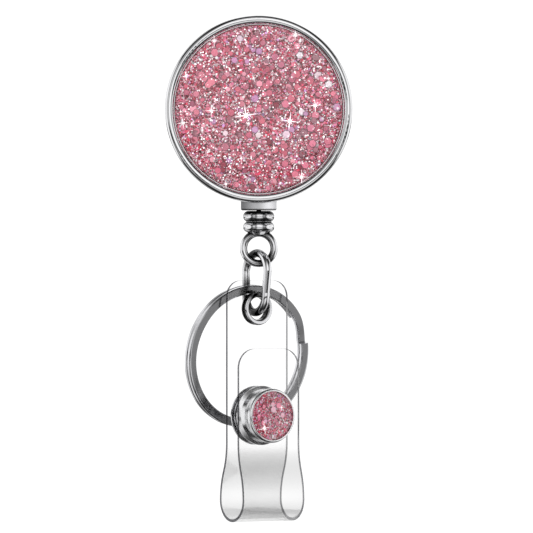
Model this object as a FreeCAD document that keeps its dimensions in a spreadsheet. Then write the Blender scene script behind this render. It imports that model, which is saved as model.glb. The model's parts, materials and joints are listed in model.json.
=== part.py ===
import FreeCAD, Part
import math
import os
import re
import Sketcher

# Retractable badge reel, in millimetres.
# The reel's axis runs along Y and the glitter face looks towards -Y; +Z is up.
# The drawing origin is the centre of the reel; each placement then moves it so that the document's
# origin is the bite of the clip's jaws.  The strap group is drawn in its own turned frame.

doc = FreeCAD.newDocument("badge_reel")
dims = doc.addObject("Spreadsheet::Sheet", "Dims")

DIMENSIONS = [
    ("grip_depth", 7.6, "bite of the jaws behind the reel's centre plane"),
    ("grip_drop", 13.0, "bite of the jaws below the reel's axis"),
    ("strap_turn", 34.0, "turn of the strap group about Z, degrees"),
    ("strap_shift", -0.6, "X of the strap group's vertical axis"),
    ("case_radius", 16.0, "outside radius of the case"),
    ("case_bore", 15.2, "inside radius of the case"),
    ("rim_radius", 14.5, "inside radius of the rim round the glitter disc"),
    ("rim_front", -4.75, "front of the rim"),
    ("rim_round", 0.72, "fillet on both edges of the rim"),
    ("web_front", -3.6, "front of the case's web"),
    ("web_back", -2.6, "back of the case's web"),
    ("case_back", 4.2, "back edge of the case wall"),
    ("disc_radius", 14.42, "radius of the glitter disc and the dome"),
    ("disc_front", -4.0, "front of the glitter disc"),
    ("dome_edge", -4.3, "front of the dome at its edge"),
    ("dome_front", -5.25, "front of the dome at its crown"),
    ("cover_front", 3.0, "front of the rear cover"),
    ("cover_radius", 15.17, "radius of the rear cover"),
    ("boss_radius", 5.0, "radius of the cover's swivel boss"),
    ("boss_back", 4.7, "back of the swivel boss"),
    ("rivet_shank", 1.2, "radius of the swivel rivet's shank"),
    ("rivet_head", 2.2, "radius of the swivel rivet's heads"),
    ("plate_front", 5.0, "front of the clip's base plate"),
    ("plate_back", 5.7, "back of the clip's base plate"),
    ("screw_circle", 13.9, "radius of the circle of case screws"),
    ("screw_shank", 0.55, "radius of a case screw's shank"),
    ("screw_head", 1.05, "radius of a case screw's head"),
    ("post_radius", 1.6, "radius of the centre post"),
    ("spool_bore", 1.65, "running bore of the spool and its cover"),
    ("drum_inner", 7.6, "inside radius of the drum"),
    ("drum_outer", 8.3, "outside radius of the drum"),
    ("flange_radius", 12.2, "radius of the spool's flanges"),
    ("winding_radius", 11.2, "outside radius of the wound cord"),
    ("cord_radius", 0.4, "radius of the cord"),
    ("spring_start", 1.85, "radius where the power spring starts"),
    ("spring_pitch", 0.54, "pitch of the power spring"),
    ("spring_strip", 0.15, "thickness of the power spring"),
    ("guide_half", 3.05, "half width of the cord guide"),
    ("guide_deep", 2.3, "half depth of the cord guide"),
    ("guide_top", -13.2, "top of the cord guide"),
    ("guide_low", -17.25, "bottom of the cord guide"),
    ("cord_turn", -13.3, "height where the cord turns into the guide"),
    ("stem_radius", 2.2, "radius of the end fitting's stem"),
    ("stem_top", -17.35, "top of the end fitting"),
    ("bead_radius", 2.7, "radius of the end fitting's beads"),
    ("bead_half", 0.82, "half height of a bead"),
    ("bead_one", -18.27, "height of the upper bead"),
    ("bead_two", -20.07, "height of the lower bead"),
    ("eye_height", -23.73, "height of the eye's centre"),
    ("eye_radius", 2.6, "radius of the eye's centreline"),
    ("eye_wire", 0.64, "radius of the eye's wire"),
    ("link_wire", 0.7, "radius of the link's wire"),
    ("link_top", -24.55, "top of the link's centreline"),
    ("link_low", -34.7, "bottom of the link's centreline"),
    ("link_wide", 3.33, "radius of the link's upper bend"),
    ("link_narrow", 3.0, "radius of the link's lower bend"),
    ("link_lean", 2.5, "sideways lean of the link about its lower bend, degrees"),
    ("sheet_half", 0.25, "half thickness of the vinyl strap"),
    ("strap_half", 6.2, "half width of the strap"),
    ("back_layer", -0.5, "centreline of the back layer"),
    ("front_layer", -4.05, "centreline of the front layer"),
    ("back_top", -29.24, "top of the back layer"),
    ("flap_top", -40.86, "top of the flap"),
    ("back_corner", 2.8, "corner radius of the back layer"),
    ("flap_corner", 3.3, "corner radius of the flap"),
    ("swell_top", -57.0, "height where the loop starts to swell"),
    ("loop_height", -66.66, "height of the loop's bottom bend centre"),
    ("loop_middle", -2.1, "middle of the loop's bottom bend"),
    ("loop_radius", 3.49, "centreline radius of the loop's bottom bend"),
    ("eyelet_height", -34.03, "height of the strap's eyelet"),
    ("eyelet_hole", 1.95, "radius of the eyelet's hole"),
    ("eyelet_barrel", 2.15, "outside radius of the eyelet's barrel"),
    ("eyelet_flange", 2.85, "radius of the eyelet's flange"),
    ("snap_height", -52.3, "height of the press snap"),
    ("snap_flange", 5.05, "radius of the snap's rear flange and skirt"),
    ("snap_shank", 1.2, "radius of the snap's shanks"),
    ("bezel_radius", 4.63, "radius of the snap cap's bezel"),
    ("window_radius", 4.2, "radius of the snap's glitter disc"),
    ("ring_outer", 12.3, "outside radius of the split ring"),
    ("ring_inner", 10.8, "inside radius of the split ring"),
    ("ring_strip", 0.85, "axial thickness of one coil of the split ring"),
    ("ring_step", 0.88, "axial step from one coil to the next"),
    ("ring_tilt", 7.2, "backward lean of the split ring, degrees"),
    ("ring_top", 1.1, "centreline of the ring's top behind the strap axis"),
    ("ring_height", -42.2, "height of the split ring's centre"),
    ("ring_cut", 24.0, "angle of the split ring's cut, degrees"),
    ("ring_ramp", 26.0, "arc of the split ring's crossover, degrees"),
    ("clip_half", 5.0, "half width of the clip's base"),
    ("lever_half", 4.1, "half width of the clip's lever"),
    ("pin_depth", 8.7, "clip hinge pin behind the reel's centre plane"),
    ("pin_height", 4.0, "clip hinge pin above the reel's axis"),
    ("pin_radius", 0.8, "radius of the clip's hinge pin"),
]
for row, (alias, amount, note) in enumerate(DIMENSIONS, start=1):
    dims.set("A%d" % row, note)
    dims.set("B%d" % row, str(amount))
    dims.setAlias("B%d" % row, alias)
doc.recompute()

ALIASES = {alias for alias, amount, note in DIMENSIONS}


def value(text):
    """Number that an expression in the sheet's aliases stands for."""
    return float(dims.evalExpression(str(text)))


def bound(text):
    """The same expression as other objects write it."""
    return re.sub(r"[a-z_]+", lambda hit: "Dims." + hit.group() if hit.group() in ALIASES else hit.group(), text)


def bind(item, path, text):
    """Tie a property or a sketch constraint to the sheet, or set it when it is a plain number."""
    if isinstance(text, str):
        item.setExpression(path, bound(text))
    elif hasattr(item, path):
        setattr(item, path, text)


def strap_frame():
    """Placement of the strap group's turned frame in the document's frame."""
    turn = FreeCAD.Rotation(FreeCAD.Vector(0, 0, 1), value("strap_turn"))
    return FreeCAD.Placement(FreeCAD.Vector(value("strap_shift"), -value("grip_depth"), value("grip_drop")), turn)


def place(item, group="reel"):
    """Move a sub-part from the drawing frame to the document's frame."""
    if group == "strap":
        item.Placement = strap_frame()
        bind(item, "Placement.Base.x", "strap_shift")
        bind(item, "Placement.Rotation.Angle", "strap_turn")
    bind(item, "Placement.Base.y", "-grip_depth")
    bind(item, "Placement.Base.z", "grip_drop")


def new_body(name, group="reel"):
    body = doc.addObject("PartDesign::Body", name)
    body.AllowCompound = True
    place(body, group)
    return body


def new_sketch(body, name, role, offset=0.0):
    """Sketch on one of the body's own origin planes, moved along the plane's normal."""
    sketch = body.newObject("Sketcher::SketchObject", name)
    support = [item for item in body.Origin.OriginFeatures if item.Role == role][0]
    sketch.AttachmentSupport = (support, [""])
    sketch.MapMode = "FlatFace"
    sketch.AttachmentOffset = FreeCAD.Placement(FreeCAD.Vector(0, 0, value(offset)), FreeCAD.Rotation())
    bind(sketch, "AttachmentOffset.Base.z", offset)
    return sketch


def constrain(sketch, kind, references, text):
    """Dimension whose size is bound to the sheet."""
    index = sketch.addConstraint(Sketcher.Constraint(kind, *references, value(text)))
    if isinstance(text, str):
        bind(sketch, "Constraints[%d]" % index, text)


def outline(sketch, points):
    """Closed outline.  A point is (x, y), or (x, y, radius, turn) when an arc arrives there."""
    spots = [FreeCAD.Vector(value(point[0]), value(point[1]), 0) for point in points]
    ends = []
    for number, point in enumerate(points):
        start = spots[number - 1]
        finish = spots[number]
        if len(point) == 2:
            edge = sketch.addGeometry(Part.LineSegment(start, finish), False)
            ends.append((edge, 1, 2))
            continue
        radius = value(point[2])
        turn = point[3]
        chord = finish - start
        reach = math.sqrt(max(radius ** 2 - chord.Length ** 2 / 4, 0))
        side = FreeCAD.Vector(-chord.y, chord.x, 0).normalize() * (reach * turn)
        centre = (start + finish) * 0.5 + side
        low, high = (start, finish) if turn > 0 else (finish, start)
        first = math.atan2(low.y - centre.y, low.x - centre.x)
        last = math.atan2(high.y - centre.y, high.x - centre.x)
        circle = Part.Circle(centre, FreeCAD.Vector(0, 0, 1), radius)
        edge = sketch.addGeometry(Part.ArcOfCircle(circle, first, last), False)
        ends.append((edge, 1, 2) if turn > 0 else (edge, 2, 1))
        constrain(sketch, "Radius", (edge,), point[2])
    for number, point in enumerate(points):
        edge, begin, end = ends[number]
        following = ends[(number + 1) % len(points)]
        sketch.addConstraint(Sketcher.Constraint("Coincident", edge, end, following[0], following[1]))
        constrain(sketch, "DistanceX", (-1, 1, edge, end), point[0])
        constrain(sketch, "DistanceY", (-1, 1, edge, end), point[1])


def circle(sketch, x, y, radius):
    edge = sketch.addGeometry(
        Part.Circle(FreeCAD.Vector(value(x), value(y), 0), FreeCAD.Vector(0, 0, 1), value(radius)), False)
    constrain(sketch, "DistanceX", (-1, 1, edge, 3), x)
    constrain(sketch, "DistanceY", (-1, 1, edge, 3), y)
    constrain(sketch, "Radius", (edge,), radius)


def pad(body, sketch, name, length, symmetric=False, back=False):
    feature = body.newObject("PartDesign::Pad", name)
    feature.Profile = sketch
    feature.SideType = "Symmetric" if symmetric else "One side"
    feature.Reversed = back
    feature.Length = value(length)
    bind(feature, "Length", length)
    return feature


def pocket(body, sketch, name, length, symmetric=False, back=False):
    feature = body.newObject("PartDesign::Pocket", name)
    feature.Profile = sketch
    feature.SideType = "Symmetric" if symmetric else "One side"
    feature.Reversed = back
    feature.Length = value(length)
    bind(feature, "Length", length)
    return feature


def revolve(body, sketch, name, kind="PartDesign::Revolution", angle=360.0):
    """Turn a sketch about its own vertical axis."""
    feature = body.newObject(kind, name)
    feature.Profile = sketch
    feature.ReferenceAxis = (sketch, ["V_Axis"])
    feature.Angle = angle
    return feature


def round_edges(body, name, chosen, radius, kind="PartDesign::Fillet"):
    """Fillet or chamfer the tip's edges that the test picks."""
    doc.recompute()
    base = body.Tip
    names = []
    for number, edge in enumerate(base.Shape.Edges, start=1):
        if chosen(edge):
            names.append("Edge%d" % number)
    feature = body.newObject(kind, name)
    feature.Base = (base, names)
    path = "Radius" if kind.endswith("Fillet") else "Size"
    setattr(feature, path, value(radius))
    bind(feature, path, radius)
    return feature


def turned(name, points, group="reel"):
    """Body of revolution about Y from an outline of (radius, y)."""
    body = new_body(name, group)
    sketch = new_sketch(body, name + "_profile", "XY_Plane")
    outline(sketch, points)
    revolve(body, sketch, name + "_turn")
    return body


def is_round(edge, radius, depth):
    """Circle of this radius about the body's Y axis at this depth."""
    curve = edge.Curve
    if not isinstance(curve, Part.Circle):
        return False
    return abs(curve.Radius - radius) < 1e-4 and abs(curve.Center.y - depth) < 1e-4


def at_height(name, height, points, group="strap"):
    """Body of revolution about a Y-parallel axis at the given height, from an outline of (radius, y)."""
    body = new_body(name, group)
    sketch = new_sketch(body, name + "_profile", "XY_Plane", height)
    outline(sketch, points)
    revolve(body, sketch, name + "_turn")
    return body


# ---------------------------------------------------------------- case


def screw_spots():
    """Centres of the case screws as (x, z) expressions."""
    spots = []
    for angle in (90, 210, 330):
        across = round(math.cos(math.radians(angle)), 6)
        up = round(math.sin(math.radians(angle)), 6)
        spots.append(("screw_circle * (%s)" % across, "screw_circle * (%s)" % up))
    return spots


def screw_circles(body, name, offset, radius):
    sketch = new_sketch(body, name, "XZ_Plane", offset)
    for x, y in screw_spots():
        circle(sketch, x, y, radius)
    return sketch


def box_points(left, low, right, high):
    return [(left, low), (right, low), (right, high), (left, high)]


def front_case():
    body = turned("front_case", [
        ("post_radius - 0.4", "web_front"),
        ("rim_radius", "web_front"),
        ("rim_radius", "rim_front"),
        ("case_radius", "rim_front"),
        ("case_radius", "case_back"),
        ("case_bore", "case_back"),
        ("case_bore", "web_back"),
        ("post_radius - 0.4", "web_back"),
    ])
    rim = (value("rim_radius"), value("case_radius"))
    round_edges(body, "rim_fillet", lambda edge: any(is_round(edge, r, value("rim_front")) for r in rim), "rim_round")
    round_edges(body, "back_fillet", lambda edge: is_round(edge, value("case_radius"), value("case_back")), 0.3)
    bosses = screw_circles(body, "screw_bosses", "-web_back", "screw_shank + 0.8")
    pad(body, bosses, "boss_pad", "cover_front - web_back", back=True)
    doc.recompute()
    before = body.Shape.Volume
    pilots = screw_circles(body, "screw_pilots", "-cover_front", "screw_shank + 0.01")
    pocket(body, pilots, "pilot_pocket", 3.6, back=True)
    notch = new_sketch(body, "guide_notch", "XZ_Plane")
    outline(notch, box_points("-guide_half - 0.02", "-case_radius - 1", "guide_half + 0.02", "guide_top - 1"))
    pocket(body, notch, "notch_pocket", "2 * guide_deep + 0.04", symmetric=True)
    doc.recompute()
    check_less(body, before, 20)
    return body


def check_less(body, before, least):
    """A cut that points away from the solid removes nothing, so the volume is compared."""
    removed = before - body.Shape.Volume
    if removed < least:
        raise RuntimeError("%s lost only %.3f mm3" % (body.Label, removed))


def glitter_disc():
    return turned("glitter_disc", box_points(0, "disc_front", "disc_radius", "web_front"))


def clear_dome():
    crown = "(disc_radius^2 + (dome_edge - dome_front)^2) / (2 * (dome_edge - dome_front))"
    return turned("clear_dome", [
        (0, "dome_front"),
        ("disc_radius", "dome_edge", crown, 1),
        ("disc_radius", "disc_front - 0.02"),
        (0, "disc_front - 0.02"),
    ])


def rear_cover():
    body = turned("rear_cover", [
        ("rivet_shank + 0.07", "cover_front + 0.8"),
        ("rivet_head + 0.2", "cover_front + 0.8"),
        ("rivet_head + 0.2", "cover_front"),
        ("cover_radius", "cover_front"),
        ("cover_radius", "case_back"),
        ("boss_radius", "case_back"),
        ("boss_radius", "boss_back"),
        ("rivet_shank + 0.07", "boss_back"),
    ])
    round_edges(body, "boss_fillet", lambda edge: is_round(edge, value("boss_radius"), value("boss_back")), 0.2)
    round_edges(body, "edge_fillet", lambda edge: is_round(edge, value("cover_radius"), value("case_back")), 0.25)
    doc.recompute()
    before = body.Shape.Volume
    holes = screw_circles(body, "screw_holes", "-cover_front", "screw_shank + 0.05")
    pocket(body, holes, "hole_pocket", 3.0)
    seats = screw_circles(body, "screw_seats", "-case_back", "screw_head + 0.05")
    pocket(body, seats, "seat_pocket", 0.6, back=True)
    doc.recompute()
    check_less(body, before, 5)
    return body


def case_screws():
    body = new_body("case_screws")
    pad(body, screw_circles(body, "heads", "-case_back", "screw_head"), "head_pad", 0.55)
    pad(body, screw_circles(body, "shanks", "-case_back + 0.5", "screw_shank"), "shank_pad", 4.0)
    doc.recompute()
    before = body.Shape.Volume
    slots = new_sketch(body, "slots", "XZ_Plane", "-case_back")
    for x, y in screw_spots():
        outline(slots, box_points(x + " - 0.75", y + " - 0.14", x + " + 0.75", y + " + 0.14"))
    pocket(body, slots, "slot_pocket", 0.3, back=True)
    doc.recompute()
    check_less(body, before, 0.2)
    return body


def centre_post():
    body = turned("centre_post", [
        (0, "web_front"),
        ("post_radius - 0.4", "web_front"),
        ("post_radius - 0.4", "web_back"),
        ("post_radius", "web_back"),
        ("post_radius", "cover_front - 0.05"),
        (0, "cover_front - 0.05"),
    ])
    doc.recompute()
    before = body.Shape.Volume
    slot = new_sketch(body, "spring_slot", "XZ_Plane", "-cover_front")
    outline(slot, box_points(0.3, -0.22, "post_radius + 0.5", 0.22))
    pocket(body, slot, "slot_pocket", 4.7, back=True)
    doc.recompute()
    check_less(body, before, 1)
    return body


def thrust_washers():
    body = new_body("thrust_washers")
    sketch = new_sketch(body, "sections", "XY_Plane")
    outline(sketch, box_points("post_radius + 0.1", "web_back + 0.03", "post_radius + 1.4", "web_back + 0.27"))
    outline(sketch, box_points("post_radius + 0.1", "cover_front - 0.65", "post_radius + 1.2", "cover_front - 0.06"))
    revolve(body, sketch, "washers_turn")
    return body


# ---------------------------------------------------------------- cord guide and cord


def upright(name, points):
    """Body of revolution about the reel's vertical axis from an outline of (radius, z)."""
    body = new_body(name)
    sketch = new_sketch(body, name + "_profile", "XZ_Plane")
    outline(sketch, points)
    revolve(body, sketch, name + "_turn")
    return body


def cord_guide():
    body = new_body("cord_guide")
    face = new_sketch(body, "guide_face", "XZ_Plane")
    outline(face, box_points("-guide_half", "guide_low", "guide_half", "guide_top"))
    pad(body, face, "guide_pad", "2 * guide_deep", symmetric=True)
    low = value("guide_low")
    round_edges(body, "low_fillet", lambda edge: edge.BoundBox.ZMax < low + 1e-4, 0.3)
    doc.recompute()
    before = body.Shape.Volume
    bore = new_sketch(body, "guide_bore", "XZ_Plane")
    outline(bore, [
        (0, "guide_low - 0.1"),
        (1.6, "guide_low - 0.1"),
        (1.6, "guide_low + 0.3"),
        (1.1, "guide_low + 0.3"),
        (1.1, "guide_low + 2.6"),
        (2.1, "guide_top + 0.1"),
        (0, "guide_top + 0.1"),
    ])
    revolve(body, bore, "guide_groove", "PartDesign::Groove")
    doc.recompute()
    check_less(body, before, 10)
    return body


def guide_eyelet():
    return upright("guide_eyelet", [
        (0.6, "guide_low"),
        (1.58, "guide_low"),
        (1.58, "guide_low + 0.28"),
        (1.09, "guide_low + 0.28"),
        (1.09, "guide_low + 2.5"),
        (0.6, "guide_low + 2.5"),
    ])


def cord_lead():
    """Cord from the winding, round a bend into the guide and down to the knot."""
    turn = value("cord_turn")
    wound = value("winding_radius") + value("cord_radius") + 0.02
    reach = math.sqrt(turn ** 2 - wound ** 2)
    lean = math.acos(wound / -turn)
    start = FreeCAD.Vector(wound * math.sin(lean), 0, -wound * math.cos(lean))
    corner = FreeCAD.Vector(0, 0, turn)
    back = (start - corner) * (1 / reach)
    bend = 2.4
    half = (math.pi / 2 - lean) / 2
    trim = bend * math.tan(half)
    first = corner + back * trim
    last = corner - FreeCAD.Vector(0, 0, trim)
    inner = (back - FreeCAD.Vector(0, 0, 1)).normalize()
    middle = corner + inner * (bend / math.cos(half) - bend)
    bottom = FreeCAD.Vector(0, 0, value("stem_top") - 1.22)
    path = Part.Wire([
        Part.LineSegment(start, first).toShape(),
        Part.Arc(first, middle, last).toShape(),
        Part.LineSegment(last, bottom).toShape(),
    ])
    ring = Part.Wire([Part.Circle(start, first - start, value("cord_radius")).toShape()])
    item = doc.addObject("Part::Feature", "cord_lead")
    item.Shape = path.makePipeShell([ring], True, False)
    expected = math.pi * value("cord_radius") ** 2 * path.Length
    print("cord lead bend %.2f, volume %.3f against %.3f" % (bend, item.Shape.Volume, expected))
    place(item)
    return item


def cord_knot():
    body = upright("cord_knot", [
        (0, "stem_top - 2.7"),
        (0.6, "stem_top - 2.7"),
        (0.95, "stem_top - 2.35"),
        (0.95, "stem_top - 1.6"),
        (0.6, "stem_top - 1.25"),
        (0, "stem_top - 1.25"),
    ])
    return body


# ---------------------------------------------------------------- spool


def spool():
    return turned("spool", [
        ("spool_bore", -2.3),
        ("drum_outer", -2.3),
        ("drum_outer", -1.6),
        ("flange_radius", -1.6),
        ("flange_radius", -1.1),
        ("drum_outer", -1.1),
        ("drum_outer", 1.1),
        ("flange_radius", 1.1),
        ("flange_radius", 1.6),
        ("drum_outer", 1.6),
        ("drum_outer", 1.9),
        ("drum_inner", 1.9),
        ("drum_inner", -1.7),
        ("spool_bore", -1.7),
    ])


def spring_cover():
    return turned("spring_cover", box_points("spool_bore", 1.9, "drum_outer", 2.3))


def cord_winding():
    return turned("cord_winding", box_points("drum_outer + 0.01", -1.08, "winding_radius", 1.08))


def power_spring():
    """Flat spiral strip of half circles, with its inner tail in the post's slot."""
    pitch = value("spring_pitch")
    half = value("spring_strip") / 2
    start = value("spring_start")
    front = -1.6
    outer = []
    inner = []
    for number in range(20):
        radius = start + pitch * number / 2
        middle = FreeCAD.Vector(pitch / 2 if number % 2 else 0, front, 0)
        side = 1 if number % 2 == 0 else -1
        for edges, size in ((outer, radius + half), (inner, radius - half)):
            begin = middle + FreeCAD.Vector(side * size, 0, 0)
            top = middle + FreeCAD.Vector(0, 0, side * size)
            end = middle - FreeCAD.Vector(side * size, 0, 0)
            edges.append(Part.Arc(begin, top, end).toShape())
    tail = [(start + half, 0), (start + half, -half * 2), (0.4, -half * 2), (0.4, 0), (start - half, 0)]
    corners = [FreeCAD.Vector(x, front, z) for x, z in tail]
    edges = [Part.LineSegment(first, last).toShape() for first, last in zip(corners, corners[1:])]
    finish = Part.LineSegment(outer[-1].Vertexes[-1].Point, inner[-1].Vertexes[-1].Point).toShape()
    wire = Part.Wire(Part.__sortEdges__(outer + inner + edges + [finish]))
    item = doc.addObject("Part::Feature", "power_spring")
    item.Shape = Part.Face(wire).extrude(FreeCAD.Vector(0, 3.4, 0))
    place(item)
    return item


# ---------------------------------------------------------------- clip


def swivel_rivet():
    return turned("swivel_rivet", [
        (0, "cover_front + 0.05"),
        ("rivet_head", "cover_front + 0.05"),
        ("rivet_head", "cover_front + 0.75"),
        ("rivet_shank", "cover_front + 0.75"),
        ("rivet_shank", "plate_back"),
        ("rivet_head", "plate_back"),
        ("rivet_head", "plate_back + 0.25"),
        (0, "plate_back + 0.8", "(rivet_head^2 + 0.55^2) / 1.1", 1),
    ])


def swivel_washer():
    return turned("swivel_washer", box_points("rivet_shank + 0.1", "boss_back + 0.02", 4.2, "plate_front - 0.02"))


def clip_base():
    body = new_body("clip_base")
    side = new_sketch(body, "base_side", "YZ_Plane")
    outline(side, [
        ("plate_front", 13.0),
        ("plate_front", -11.6),
        ("grip_depth - 0.6", "-grip_drop - 0.4"),
        ("grip_depth - 0.02", "-grip_drop - 0.4"),
        ("grip_depth - 0.02", "-grip_drop + 0.4"),
        ("plate_back", -11.2),
        ("plate_back", 13.0),
    ])
    pad(body, side, "base_pad", "2 * clip_half", symmetric=True)
    half = value("clip_half")
    corners = lambda edge: edge.BoundBox.ZMin > 12.99 and abs(abs(edge.BoundBox.XMax) - half) < 1e-4 \
        and edge.BoundBox.XLength < 1e-4
    round_edges(body, "thumb_fillet", corners, 3.0)
    ears = new_sketch(body, "ears", "YZ_Plane")
    outline(ears, ear_points("plate_back - 0.3", "pin_depth + 1.3", 2.6))
    pad(body, ears, "ear_pad", "2 * clip_half", symmetric=True)
    doc.recompute()
    before = body.Shape.Volume
    throat = new_sketch(body, "throat", "YZ_Plane")
    outline(throat, box_points("plate_back", "pin_height - 4", "pin_depth + 3", "pin_height + 4"))
    pocket(body, throat, "throat_pocket", "2 * clip_half - 1.4", symmetric=True)
    pins = new_sketch(body, "pin_holes", "YZ_Plane")
    circle(pins, "pin_depth", "pin_height", "pin_radius")
    pocket(body, pins, "pin_pocket", "4 * clip_half", symmetric=True)
    rivet = new_sketch(body, "rivet_hole", "XZ_Plane", "-plate_front + 0.5")
    circle(rivet, 0, 0, "rivet_shank")
    pocket(body, rivet, "rivet_pocket", 2.0)
    teeth = new_sketch(body, "teeth", "XZ_Plane", "-plate_front + 0.5")
    for left in (-4.0, -1.5, 1.0, 3.5):
        outline(teeth, box_points(left, "-grip_drop - 0.6", left + 0.6, "-grip_drop + 0.1"))
    pocket(body, teeth, "teeth_pocket", 6.0)
    doc.recompute()
    check_less(body, before, 60)
    return body


def ear_points(root, tip, half):
    """Side of a hinge ear: wide at its root, narrow round the pin."""
    return [
        (root, "pin_height - %s" % half),
        (root, "pin_height + %s" % half),
        ("pin_depth", "pin_height + 1.5"),
        (tip, "pin_height + 0.8"),
        (tip, "pin_height - 0.8"),
        ("pin_depth", "pin_height - 1.5"),
    ]


def clip_lever():
    body = new_body("clip_lever")
    side = new_sketch(body, "lever_side", "YZ_Plane")
    outline(side, [
        ("grip_depth + 0.02", "-grip_drop - 0.4"),
        ("grip_depth + 0.8", "-grip_drop - 0.4"),
        (11.0, -6.4),
        (11.0, 6.0),
        (13.6, 13.2),
        (12.9, 13.4),
        (10.3, 6.2),
        (10.3, -6.2),
        ("grip_depth + 0.02", "-grip_drop + 0.4"),
    ])
    pad(body, side, "lever_pad", "2 * lever_half", symmetric=True)
    half = value("lever_half")
    corners = lambda edge: edge.BoundBox.ZMin > 13.0 and abs(abs(edge.BoundBox.XMax) - half) < 1e-4 \
        and edge.BoundBox.XLength < 1e-4
    round_edges(body, "thumb_fillet", corners, 2.6)
    bends = lambda edge: edge.BoundBox.XLength > 8 and abs(abs(edge.BoundBox.ZMin) - 6.2) < 0.3
    round_edges(body, "bend_fillet", bends, 1.2)
    ears = new_sketch(body, "ears", "YZ_Plane")
    outline(ears, ear_points(10.5, "pin_depth - 1.0", 2.6))
    pad(body, ears, "ear_pad", "2 * lever_half", symmetric=True)
    doc.recompute()
    before = body.Shape.Volume
    throat = new_sketch(body, "throat", "YZ_Plane")
    outline(throat, box_points("pin_depth - 2", "pin_height - 4", 10.3, "pin_height + 2"))
    pocket(body, throat, "throat_pocket", "2 * lever_half - 1.4", symmetric=True)
    upper = new_sketch(body, "upper_throat", "YZ_Plane")
    outline(upper, box_points("pin_depth - 2", "pin_height + 1.9", 10.25, "pin_height + 3"))
    pocket(body, upper, "upper_pocket", "2 * lever_half - 1.4", symmetric=True)
    pins = new_sketch(body, "pin_holes", "YZ_Plane")
    circle(pins, "pin_depth", "pin_height", "pin_radius + 0.06")
    pocket(body, pins, "pin_pocket", "4 * lever_half", symmetric=True)
    teeth = new_sketch(body, "teeth", "XZ_Plane", "-grip_depth + 1")
    for left in (-2.6, -0.3, 2.0):
        outline(teeth, box_points(left, "-grip_drop - 0.6", left + 0.6, "-grip_drop + 0.1"))
    pocket(body, teeth, "teeth_pocket", 3.0)
    doc.recompute()
    check_less(body, before, 20)
    return body


def clip_hinge_pin():
    body = new_body("clip_hinge_pin")
    for name, offset, radius, length, back in (
            ("shaft", "-clip_half", "pin_radius", "2 * clip_half", False),
            ("left_head", "-clip_half", "pin_radius + 0.4", 0.4, True),
            ("right_head", "clip_half", "pin_radius + 0.4", 0.4, False)):
        sketch = new_sketch(body, name, "YZ_Plane", offset)
        circle(sketch, "pin_depth", "pin_height", radius)
        pad(body, sketch, name + "_pad", length, back=back)
    return body


def clip_spring():
    """Torsion coil round the hinge pin, with both legs pressing up into the thumb ends."""
    wire = 0.25
    mean = value("pin_radius") + 0.1 + wire
    turns = 6.5
    pitch = 0.62
    length = turns * pitch
    leg = FreeCAD.Vector(0, -2 * math.pi * mean, pitch).normalize() * 6.2
    start = FreeCAD.Vector(mean, 0, 0)
    end = FreeCAD.Vector(-mean, 0, length)
    first = start + FreeCAD.Vector(0, leg.y, -leg.z)
    path = Part.Wire([
        Part.LineSegment(first, start).toShape(),
        Part.makeHelix(pitch, length, mean).Edges[0],
        Part.LineSegment(end, end + leg).toShape(),
    ])
    section = Part.Circle(first, start - first, wire).toShape()
    item = doc.addObject("Part::Feature", "clip_spring")
    item.Shape = path.makePipeShell([Part.Wire([section])], True, False)
    print("clip spring volume %.3f against %.3f" % (item.Shape.Volume, math.pi * wire ** 2 * path.Length))
    facing = FreeCAD.Rotation(FreeCAD.Vector(0, -1, 0), FreeCAD.Vector(0, 0, -1), FreeCAD.Vector(1, 0, 0), "ZXY")
    item.Placement = FreeCAD.Placement(
        FreeCAD.Vector(-length / 2, value("pin_depth - grip_depth"), value("pin_height + grip_drop")), facing)
    return item


# ---------------------------------------------------------------- end fitting and link


def end_fitting():
    bulge = "(bead_half^2 + (bead_radius - stem_radius)^2) / (2 * (bead_radius - stem_radius))"
    body = upright("end_fitting", [
        (0.5, "stem_top"),
        ("stem_radius - 0.2", "stem_top"),
        ("stem_radius", "bead_one + bead_half"),
        ("stem_radius", "bead_one - bead_half", bulge, -1),
        ("stem_radius", "bead_two + bead_half"),
        ("stem_radius", "bead_two - bead_half", bulge, -1),
        (1.3, "eye_height + eye_radius - 0.25"),
        (0, "eye_height + eye_radius - 0.25"),
        (0, "stem_top - 2.8"),
        (1.05, "stem_top - 2.8"),
        (1.05, "stem_top - 1.15"),
        (0.5, "stem_top - 1.15"),
    ])
    eye = new_sketch(body, "eye_section", "XY_Plane", "eye_height")
    circle(eye, "eye_radius", 0, "eye_wire")
    revolve(body, eye, "eye_turn")
    return body


def oval_link():
    body = new_body("oval_link", "strap")
    lean = "((link_wide - link_narrow) / (link_top - link_wide - link_low - link_narrow))"
    across = "sqrt(1 - %s^2)" % lean
    upper = ("link_wide * %s" % across, "link_top - link_wide + link_wide * %s" % lean)
    lower = ("link_narrow * %s" % across, "link_low + link_narrow + link_narrow * %s" % lean)
    spine = new_sketch(body, "link_path", "YZ_Plane")
    outline(spine, [
        (0, "link_low", "link_narrow", 1),
        (lower[0], lower[1], "link_narrow", 1),
        upper,
        (0, "link_top", "link_wide", 1),
        ("-" + upper[0], upper[1], "link_wide", 1),
        ("-" + lower[0], lower[1]),
    ])
    section = new_sketch(body, "link_section", "XZ_Plane")
    circle(section, 0, "link_low", "link_wire")
    pipe = body.newObject("PartDesign::AdditivePipe", "link_pipe")
    pipe.Profile = section
    pipe.Spine = spine
    body.setExpression("Placement.Rotation.Angle", None)
    body.setExpression("Placement.Base.x", None)
    body.setExpression("Placement.Base.y", None)
    body.setExpression("Placement.Base.z", None)
    lean = FreeCAD.Rotation(FreeCAD.Vector(0, 1, 0), value("link_lean"))
    body.Placement = strap_frame().multiply(
        FreeCAD.Placement(FreeCAD.Vector(0, 0, 0), lean, FreeCAD.Vector(0, 0, value("link_low"))))
    return body


# ---------------------------------------------------------------- strap


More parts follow.
